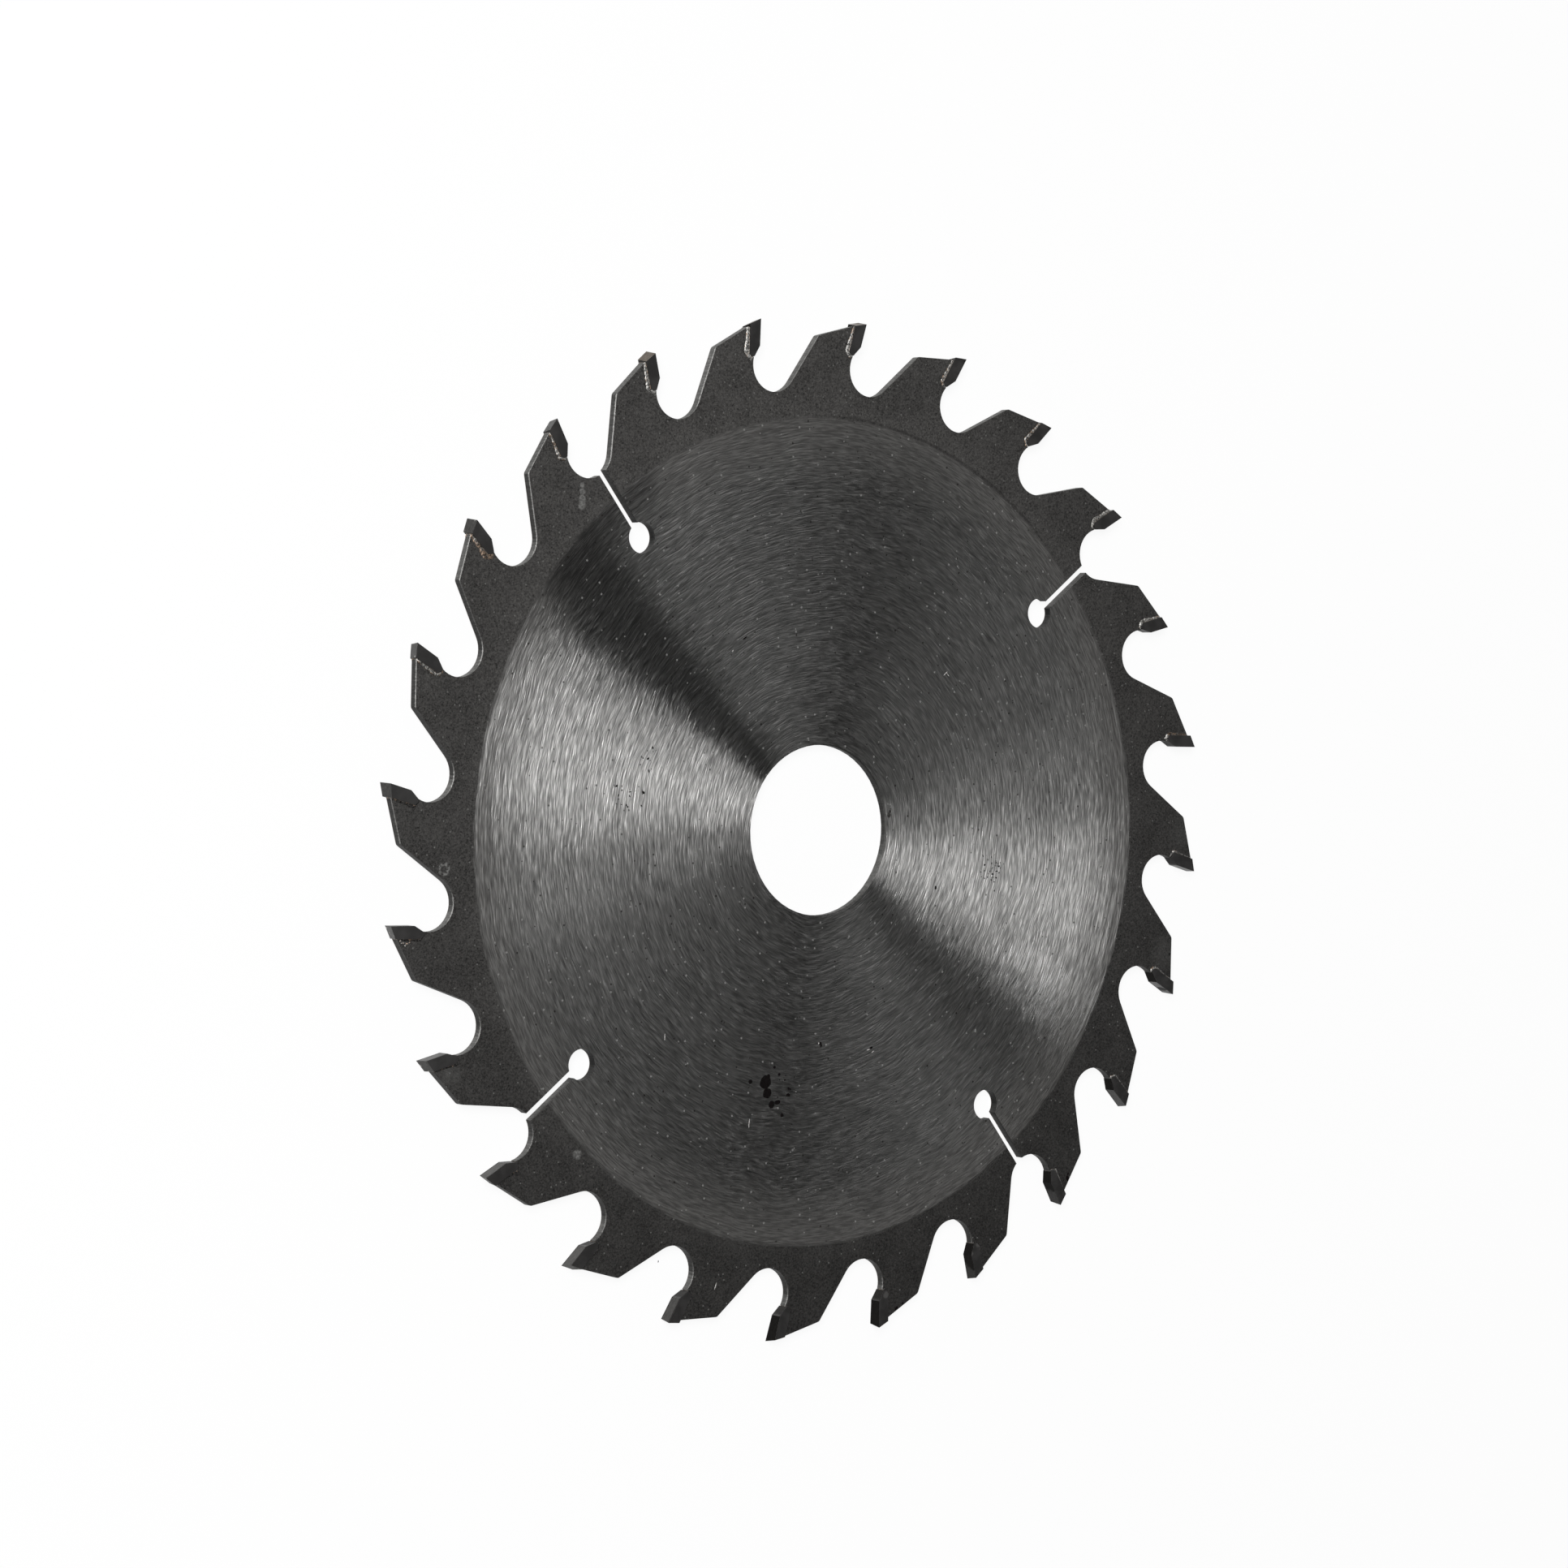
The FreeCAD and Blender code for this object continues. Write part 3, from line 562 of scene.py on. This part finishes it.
def carbide_material():
    """Ground carbide: dark flat sides, tops with pale chips and near black rake faces with painted light
    where they face a light.
    """
    graph = Graph("carbide")
    x, y, z = graph.split(graph.point)
    outward = graph.vector("NORMALIZE", graph.join(x, y, 0.0))
    flat_normal = graph.node("ShaderNodeNewGeometry").outputs["True Normal"]
    upright = graph.math("ABSOLUTE", graph.split(flat_normal)[2])
    radius = graph.vector("LENGTH", graph.join(x, y, 0.0))
    side = graph.ramp(upright, 0.5, 0.8)
    top = graph.ramp(graph.vector("DOT_PRODUCT", outward, flat_normal), 0.5, 0.75)
    lines = graph.noise(graph.join(x, y, graph.times(z, 5.0)), 1500.0, 3.0, 0.6)
    patch = graph.noise(graph.point, 420.0, 2.0)
    light = flecks(graph, 1300.0, 0.36, 0.60, 0.10, "3D")[0]
    tan = graph.times(graph.ramp(graph.math("ABSOLUTE", x), 0.040, 0.032), graph.ramp(y, 0.0, 0.02))
    lands = graph.blend(tan, CARBIDE_TOP, CARBIDE_TAN)
    chips = graph.times(light, graph.ramp(tan, 0.0, 1.0, 0.75, 0.1))
    chip_colour = graph.brighten(LAND_CHIP, graph.ramp(x, -0.085, -0.060, 1.8, 1.0))
    lands = graph.blend(chips, lands, chip_colour)
    level = graph.math("ABSOLUTE", z)
    rake, lit_and_worn = rake_colour(graph, flat_normal, radius, level, patch)
    shaded = graph.facing(flat_normal, 242.0, 0.88, 0.97)
    open_top = graph.times(top, graph.ramp(shaded, 0.0, 1.0, 1.0, 0.0))
    colour = graph.blend(top, rake, lands)
    colour = graph.brighten(colour, graph.ramp(lines, 0.3, 0.7, 0.65, 1.40))
    plain = graph.brighten(CARBIDE, graph.ramp(patch, 0.3, 0.7, 0.88, 1.14))
    plain = graph.brighten(plain, graph.ramp(x, -0.090, -0.074, 1.15, 1.0))
    for out, clockwise, size in ((0.0843, 163.0, 0.50), (0.0851, 164.3, 0.35), (0.0846, 178.3, 0.60)):
        bare = spot_at(graph, out, clockwise, size * MILLIMETRE, 0.3, TIP_Z)
        plain = graph.blend(graph.times(bare, 0.7), plain, BARE_CARBIDE)
    colour = graph.blend(side, colour, plain)
    stain = rake_stain(graph, x, y, z)
    colour = graph.blend(stain, colour, INK)
    lit_and_worn = graph.times(lit_and_worn, graph.math("SUBTRACT", 1.0, top))
    open_share = graph.math("MAXIMUM", graph.math("MAXIMUM", side, open_top), lit_and_worn)
    open_share = graph.times(open_share, graph.math("SUBTRACT", 1.0, stain))
    shader = graph.principled({
        "Base Color": colour,
        "Metallic": graph.ramp(open_share, 0.0, 1.0, 0.05, 0.7),
        "Roughness": graph.ramp(patch, 0.35, 0.65, 0.34, 0.44),
        "Specular IOR Level": graph.ramp(open_share, 0.0, 1.0, 0.02, 0.25),
        "Normal": graph.bump(lines, 0.006 * MILLIMETRE, 0.5, graph.rounded(0.05 * MILLIMETRE)),
    })
    return graph.done(shader)


def braze_material(name, metal, copper_share, edge_share, bare=0.85, copper_gain=1.0):
    """Silver solder with copper coloured blotches and edges and a granular skin."""
    graph = Graph(name)
    blotch = graph.noise(graph.point, 1500.0, 3.0, 0.6)
    fine = graph.noise(graph.point, 3000.0, 2.0, 0.7)
    edge = graph.times(graph.stored("edge"), edge_share)
    copper = graph.ramp(graph.math("ADD", blotch, edge), 0.66 - copper_share, 0.72 - copper_share)
    colour = graph.blend(copper, metal, tuple(share * copper_gain for share in COPPER))
    colour = graph.brighten(colour, graph.ramp(fine, 0.32, 0.68, 0.20, 1.60))
    shader = graph.principled({
        "Base Color": colour,
        "Metallic": bare,
        "Roughness": graph.ramp(fine, 0.3, 0.7, 0.38, 0.60),
        "Normal": graph.bump(fine, 0.08 * MILLIMETRE, 0.8),
    })
    return graph.done(shader)


def ink_material():
    """Dried black splashes."""
    graph = Graph("dried_ink")
    grain = graph.noise(graph.point, 3000.0, 2.0)
    colour = graph.brighten(INK, graph.ramp(grain, 0.3, 0.7, 0.8, 1.2))
    shader = graph.principled({
        "Base Color": colour,
        "Roughness": graph.ramp(grain, 0.3, 0.7, 0.50, 0.65),
        "Specular IOR Level": 0.02,
    })
    return graph.done(shader)


def scratch_material():
    """Bare bright metal in a scratch."""
    graph = Graph("bare_scratch")
    grain = graph.noise(graph.point, 4000.0, 2.0)
    colour = graph.brighten(SOLDER, graph.ramp(grain, 0.3, 0.7, 0.6, 1.3))
    shader = graph.principled({
        "Base Color": colour,
        "Metallic": 0.1,
        "Roughness": graph.ramp(grain, 0.3, 0.7, 0.45, 0.6),
    })
    return graph.done(shader)


def finish_piece(mesh, name, material):
    """Makes an object of a mesh and lets it ride on the blade."""
    data = bpy.data.meshes.new(name)
    mesh.normal_update()
    mesh.to_mesh(data)
    mesh.free()
    for polygon in data.polygons:
        polygon.use_smooth = True
    piece = bpy.data.objects.new(name, data)
    bpy.context.scene.collection.objects.link(piece)
    data.materials.append(material)
    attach(piece, "root")


def tooth_turn(name):
    """The turn from tooth 1 to the tooth that a node belongs to."""
    low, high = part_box(name)
    first_low, first_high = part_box(TIP_NAMES[0])
    middle = (low + high) / 2
    first = (first_low + first_high) / 2
    steps = (math.atan2(middle.y, middle.x) - math.atan2(first.y, first.x)) / TOOTH_STEP
    return round(steps) * TOOTH_STEP


def seam_points():
    """The braze seam of tooth 1 in the plane of the plate: its top, inner corner and lower end."""
    points = [v.co.xy for v in NODES[BRAZE_NAMES[0]].data.vertices if abs(v.co.z - RIM_Z) < 1e-5]
    top = max(points, key=lambda p: p.y)
    corner = min(points, key=lambda p: p.x)
    end = min(points, key=lambda p: p.y)
    return [top.copy(), corner.copy(), end.copy()]


def along(points, share):
    """A point on a line of corners at a share of its length, and its direction."""
    lengths = [(b - a).length for a, b in zip(points, points[1:])]
    left = share * sum(lengths)
    for a, b, length in zip(points, points[1:], lengths):
        if left <= length or b is points[-1]:
            return a.lerp(b, min(1.0, left / length)), (b - a).normalized()
        left -= length


def add_seam(mesh, store, number, side, first, last, top_width, low_width, height):
    """A lumpy line of braze on one face, from one share of the seam to another."""
    seam = seam_points()
    stations = max(10, round(46 * (last - first)))
    around = 12
    rings = []
    for step in range(stations + 1):
        part = step / stations
        share = first + (last - first) * part
        centre, direction = along(seam, share)
        across = Vector((direction.y, -direction.x))
        ends = min(1.0, part * (last - first) / 0.04, (1 - part) * (last - first) / 0.05)
        width = top_width + (low_width - top_width) * part ** 1.6
        half = width * 0.68 * MILLIMETRE * math.sqrt(max(0.0, ends))
        place = Vector((centre.x, centre.y, side)) / MILLIMETRE
        lump = 1 + 0.45 * noise.noise(place * 2.3 + Vector((number * 7.1, 0, side * 3.7)))
        ring = []
        for k in range(around):
            angle = 2 * math.pi * k / around
            rough = 1 + 0.22 * noise.noise(place * 4.1 + Vector((k * 1.7, number * 3.3, 0)))
            out = half * lump * rough * math.cos(angle) + half * 0.35
            up = height * lump * rough * math.sin(angle) * ends
            flat = centre + across * out
            point = mesh.verts.new((flat.x, flat.y, side * (RIM_Z + up)))
            point[store] = abs(math.cos(angle)) ** 2
            ring.append(point)
        rings.append(ring)
    for a, b in zip(rings, rings[1:]):
        for k in range(around):
            m = (k + 1) % around
            mesh.faces.new((a[k], a[m], b[m], b[k]))
    mesh.faces.new(list(reversed(rings[0])))
    mesh.faces.new(rings[-1])


def make_bead(number, turn, name, first, last, top_width, low_width, height, material):
    """The braze beside one carbide tip, on both faces of the plate."""
    mesh = bmesh.new()
    store = mesh.verts.layers.float.new("edge")
    for side in (1, -1):
        add_seam(mesh, store, number, side, first, last, top_width, low_width, height)
    bmesh.ops.recalc_face_normals(mesh, faces=mesh.faces)
    bmesh.ops.transform(mesh, matrix=Matrix.Rotation(turn, 4, "Z"), verts=mesh.verts)
    finish_piece(mesh, name, material)


def on_face(radius, clockwise, height):
    """A point on the near face, by its radius in millimetres and its turn from tooth 1 in degrees."""
    turn = math.radians(clockwise)
    flat = Vector((math.sin(turn), math.cos(turn))) * radius * MILLIMETRE
    return Vector((flat.x, flat.y, height))


def add_dome(mesh, place, long_half, wide_half, turn, height, seed):
    """A low rounded drop that sits on the face."""
    rings = 4
    around = 26
    rows = []
    for level in range(rings):
        share = 1 - level / rings
        row = []
        for k in range(around):
            angle = 2 * math.pi * k / around
            spread = Vector((math.cos(angle), math.sin(angle), seed))
            uneven = 1 + 0.16 * noise.noise(spread * 1.4)
            flat = Vector((math.cos(angle) * long_half, math.sin(angle) * wide_half)) * share * uneven
            flat.rotate(Matrix.Rotation(turn, 2))
            up = height * (1 - share * share)
            row.append(mesh.verts.new((place.x + flat.x, place.y + flat.y, place.z + up)))
        rows.append(row)
    peak = mesh.verts.new((place.x, place.y, place.z + height))
    for a, b in zip(rows, rows[1:]):
        for k in range(around):
            m = (k + 1) % around
            mesh.faces.new((a[k], a[m], b[m], b[k]))
    for k in range(around):
        mesh.faces.new((rows[-1][k], rows[-1][(k + 1) % around], peak))


def add_marks(mesh, places, level, height, seed, step, start=0):
    """Domes at places given by radius, turn from tooth 1, two half sizes and their own turn."""
    for index, (radius, clockwise, long_half, wide_half, turn) in enumerate(places, start):
        place = on_face(radius, clockwise, level)
        add_dome(mesh, place, long_half * MILLIMETRE, wide_half * MILLIMETRE,
                 math.radians(turn), height * MILLIMETRE, seed + index * step)


def make_ink(material):
    """Black splashes on the lower part of the near face."""
    places = (
        (45.2, 203.6, 1.26, 1.10, 20),
        (44.2, 203.2, 0.50, 0.44, 60),
        (47.0, 202.6, 0.94, 0.82, 10),
        (48.8, 200.9, 0.72, 0.60, 50),
        (48.2, 199.5, 0.66, 0.42, 0),
        (45.9, 207.7, 0.42, 0.40, 0),
        (42.3, 202.0, 0.30, 0.26, 0),
        (43.4, 200.2, 0.30, 0.26, 0),
        (44.2, 198.4, 0.20, 0.14, 0),
        (44.3, 199.8, 0.16, 0.12, 0),
        (45.6, 196.8, 0.42, 0.24, 150),
        (46.7, 196.9, 0.48, 0.28, 170),
        (50.3, 197.9, 0.34, 0.32, 0),
        (37.7, 187.9, 0.24, 0.50, 10),
        (40.7, 171.8, 0.42, 0.18, 10),
        (28.7, 121.1, 0.26, 0.34, 0),
        (37.5, 342.7, 0.55, 0.13, 25),
        (37.6, 346.2, 0.30, 0.08, 25),
    )
    rim_places = (
        (87.7, 147.0, 0.52, 0.36, 100),
        (87.2, 146.6, 0.28, 0.20, 60),
        (87.8, 176.9, 0.44, 0.28, 40),
        (87.3, 175.9, 0.24, 0.18, 30),
        (87.1, 115.5, 0.30, 0.12, 90),
        (80.9, 214.0, 0.20, 0.09, 70),
    )
    mesh = bmesh.new()
    add_marks(mesh, places, FACE_Z, 0.03, 0, 5.3)
    add_marks(mesh, rim_places, RIM_Z, 0.03, 0, 5.3, start=len(places))
    finish_piece(mesh, "ink_splashes", material)


def make_scratches(material):
    """Short bright scratches and chips in the near face."""
    places = (
        (52.9, 205.4, 0.85, 0.08, 75),
        (48.1, 232.6, 0.55, 0.10, 80),
        (39.6, 54.8, 0.60, 0.08, 30),
        (39.9, 55.6, 0.40, 0.07, 120),
        (34.8, 313.5, 0.50, 0.08, 60),
        (36.8, 337.4, 0.20, 0.12, 40),
        (40.8, 172.6, 0.42, 0.10, 5),
        (41.5, 171.5, 0.36, 0.09, 20),
        (37.5, 188.6, 0.14, 0.16, 0),
    )
    rim_places = ((81.6, 204.6, 0.70, 0.09, 60),)
    mesh = bmesh.new()
    add_marks(mesh, places, FACE_Z, 0.012, 90, 3.1)
    add_marks(mesh, rim_places, RIM_Z, 0.012, 150, 3.1)
    finish_piece(mesh, "scratches", material)


def make_dark_grains(material):
    """Loose dark grains that lie about on the near face."""
    dice = random.Random(77)
    mesh = bmesh.new()
    areas = (
        (41.6, 287.8, 3.4, 1.8, 17, 0.34),
        (39.4, 298.2, 1.4, 2.1, 10, 0.34),
        (40.3, 110.0, 2.4, 2.2, 40, 0.24),
    )
    for radius, clockwise, out, round_out, amount, largest in areas:
        for index in range(amount):
            r = radius + dice.uniform(-out, out)
            turn = clockwise + math.degrees(dice.uniform(-round_out, round_out) / r)
            half = dice.uniform(0.09, largest)
            place = on_face(r, turn, FACE_Z)
            add_dome(mesh, place, half * MILLIMETRE, half * dice.uniform(0.35, 0.8) * MILLIMETRE,
                     dice.uniform(0, math.pi), 0.010 * MILLIMETRE, 200 + index * 2.7)
    finish_piece(mesh, "dark_grains", material)


def make_spatter(material):
    """Drops of braze on the rim behind tooth 19."""
    places = (
        (88.25, 268.20, 0.26, 0.18, 70),
        (88.05, 267.90, 0.20, 0.15, 20),
        (87.60, 267.86, 0.28, 0.20, 0),
        (87.50, 267.56, 0.20, 0.14, 40),
        (87.10, 267.70, 0.24, 0.15, 0),
        (86.60, 267.75, 0.17, 0.10, 10),
    )
    mesh = bmesh.new()
    mesh.verts.layers.float.new("edge")
    add_marks(mesh, places, RIM_Z, 0.09, 300, 4.9)
    finish_piece(mesh, "braze_spatter", material)


def direction_of(azimuth, elevation):
    """The direction from the blade towards an azimuth and an elevation in degrees."""
    a = math.radians(azimuth)
    e = math.radians(elevation)
    return Vector((math.cos(a) * math.cos(e), math.sin(a) * math.cos(e), math.sin(e)))


def make_light(name, azimuth, elevation, distance, half_width, half_height, roll, radiance):
    """A soft box that faces the middle of the blade."""
    data = bpy.data.lights.new(name, "AREA")
    data.shape = "RECTANGLE"
    data.size = 2 * half_width
    data.size_y = 2 * half_height
    data.energy = radiance * math.pi * data.size * data.size_y
    lamp = bpy.data.objects.new(name, data)
    bpy.context.scene.collection.objects.link(lamp)
    back = direction_of(azimuth, elevation)
    side = Vector((-back.y, back.x, 0)).normalized()
    up = back.cross(side)
    turn = math.radians(roll)
    across = side * math.cos(turn) + up * math.sin(turn)
    rise = back.cross(across)
    lamp.matrix_world = Matrix((
        (across.x, rise.x, back.x, back.x * distance),
        (across.y, rise.y, back.y, back.y * distance),
        (across.z, rise.z, back.z, back.z * distance),
        (0, 0, 0, 1),
    ))
    lamp.visible_camera = False


def seen_background(tree):
    """One where a camera, glossy or transmitted ray arrives, else zero."""
    path = tree.nodes.new("ShaderNodeLightPath")
    total = None
    for key in ("Is Camera Ray", "Is Glossy Ray", "Is Transmission Ray"):
        if total is None:
            total = path.outputs[key]
            continue
        larger = tree.nodes.new("ShaderNodeMath")
        larger.operation = "MAXIMUM"
        tree.links.new(total, larger.inputs[0])
        tree.links.new(path.outputs[key], larger.inputs[1])
        total = larger.outputs[0]
    return total


def make_floor():
    """A wide pale floor that the blade lies on."""
    mesh = bmesh.new()
    bmesh.ops.create_circle(mesh, cap_ends=True, radius=4.0, segments=96)
    data = bpy.data.meshes.new("floor")
    mesh.to_mesh(data)
    mesh.free()
    floor = bpy.data.objects.new("floor", data)
    bpy.context.scene.collection.objects.link(floor)
    floor.location = (0, 0, FLOOR_Z)
    graph = Graph("pale_floor")
    white = graph.node("ShaderNodeEmission", {"Color": (1.0, 1.0, 1.0), "Strength": 1.0}).outputs[0]
    share = graph.times(seen_background(graph.tree), 0.90)
    shown = graph.mixed(share, graph.matt(FLOOR_WHITE), white)
    clear = graph.node("ShaderNodeBsdfTransparent").outputs[0]
    under = graph.node("ShaderNodeNewGeometry").outputs["Backfacing"]
    data.materials.append(graph.done(graph.mixed(under, shown, clear)))


def make_world():
    """Dark studio overhead, and a white surround low down."""
    world = bpy.data.worlds.new("studio")
    bpy.context.scene.world = world
    world.use_nodes = True
    tree = world.node_tree
    tree.nodes.clear()
    place = tree.nodes.new("ShaderNodeTexCoord")
    split = tree.nodes.new("ShaderNodeSeparateXYZ")
    tree.links.new(place.outputs["Generated"], split.inputs[0])
    fade = tree.nodes.new("ShaderNodeMapRange")
    fade.interpolation_type = "SMOOTHSTEP"
    fade.inputs["From Min"].default_value = HORIZON_LOW
    fade.inputs["From Max"].default_value = HORIZON_HIGH
    fade.inputs["To Min"].default_value = 1.0
    fade.inputs["To Max"].default_value = STUDIO_GREY
    tree.links.new(split.outputs[2], fade.inputs["Value"])
    background = tree.nodes.new("ShaderNodeBackground")
    background.inputs["Color"].default_value = (1, 1, 1, 1)
    tree.links.new(fade.outputs["Result"], background.inputs["Strength"])
    output = tree.nodes.new("ShaderNodeOutputWorld")
    tree.links.new(background.outputs[0], output.inputs["Surface"])


def make_camera():
    """The camera at the photograph's place and angle."""
    data = bpy.data.cameras.new("camera")
    data.lens = CAMERA_LENS
    data.sensor_width = SENSOR_WIDTH
    data.clip_start = 0.01
    data.clip_end = 20
    camera = bpy.data.objects.new("camera", data)
    bpy.context.scene.collection.objects.link(camera)
    back = (CAMERA_PLACE - CAMERA_AIM).normalized()
    right = CAMERA_UP.cross(back).normalized()
    up = back.cross(right)
    turn = Matrix((right, up, back)).transposed().to_4x4()
    camera.matrix_world = Matrix.Translation(CAMERA_PLACE) @ turn
    bpy.context.scene.camera = camera


def dress(names, material):
    """Gives CAD nodes a finished material through their own slots."""
    for name in names:
        for place in NODES[name].material_slots:
            place.material = material


dress(["plate"], plate_material())
dress(TIP_NAMES, carbide_material())
dress(BRAZE_NAMES, braze_material("braze_joint", JOINT_SOLDER, 0.10, 0.0))
BRAZES = {
    "silver": braze_material("braze_silver", SOLDER, 0.02, 0.12),
    "edged": braze_material("braze_edged", SOLDER, 0.02, 0.26),
    "grey": braze_material("braze_grey", GREY_SOLDER, 0.04, 0.10),
    "brown": braze_material("braze_brown", BROWN_SOLDER, 0.24, 0.04),
    "copper": braze_material("braze_copper", COPPERY_SOLDER, 0.26, 0.04, 0.85, 1.7),
    "dull": braze_material("braze_dull", TARNISH, 0.01, 0.0),
    "faint": braze_material("braze_faint", FAINT_SOLDER, 0.03, 0.10, 0.3),
    "drops": braze_material("braze_drops", DROP_SOLDER, 0.16, 0.0, 0.3),
}
for tooth, tip_name in enumerate(TIP_NAMES, start=1):
    kind, top_width, low_width = BEADS[tooth]
    height = random.Random(4100 + tooth).uniform(0.12, 0.17) * MILLIMETRE
    place = tooth_turn(tip_name)
    make_bead(tooth, place, "bead_%02d" % tooth, 0.0, 1.0, top_width, low_width, height, BRAZES[kind])
    if tooth in SEAM_ENDS:
        kind, first, last, start_width, end_width = SEAM_ENDS[tooth]
        name = "bead_end_%02d" % tooth
        make_bead(tooth, place, name, first, last, start_width, end_width, height * 1.25, BRAZES[kind])
make_spatter(BRAZES["drops"])
DRIED_INK = ink_material()
make_ink(DRIED_INK)
make_dark_grains(DRIED_INK)
make_scratches(scratch_material())

for light_name, setting in LIGHTS.items():
    make_light(light_name, *setting)
make_world()
make_floor()
make_camera()

bpy.context.scene.view_settings.view_transform = "Standard"
